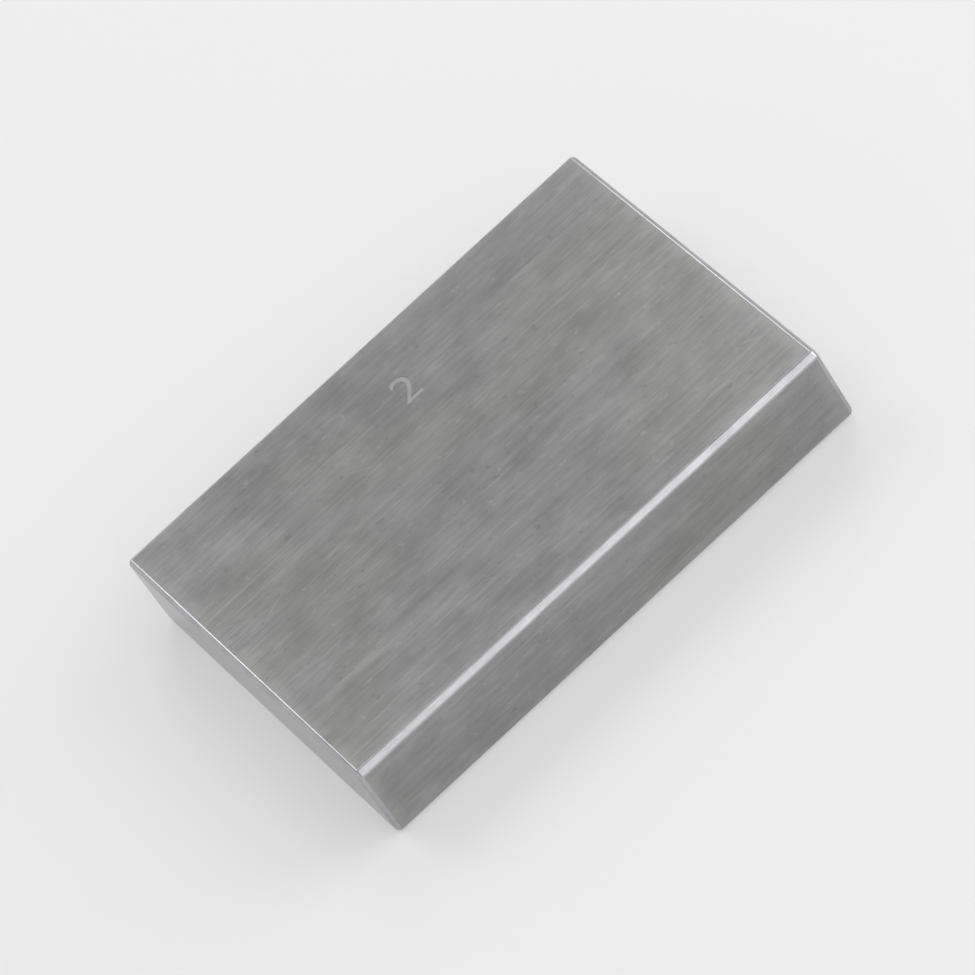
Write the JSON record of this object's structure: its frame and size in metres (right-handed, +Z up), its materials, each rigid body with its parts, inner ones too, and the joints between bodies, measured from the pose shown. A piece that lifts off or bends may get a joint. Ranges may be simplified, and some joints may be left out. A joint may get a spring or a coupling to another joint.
{
  "type": "gauge block",
  "caption": "Rectangular steel gauge block with two lapped gauging faces, ground sides and broken edges, lying on a broad side.",
  "frame": {"origin": "middle of the underside, the broad side face that the block lies on", "axes": "+X from one gauging face to the other, along the gauged length; +Y along the long side of a gauging face; +Z up, along its short side"},
  "size_m": [0.0508, 0.035, 0.009],
  "materials": {
    "ground_steel": "fine ground grain along the length on the sides, lapped near-mirror gauging faces, bright broken edges"
  },
  "bodies": {
    "root": {"gauge_block": "ground_steel"}
  },
  "joints": []
}
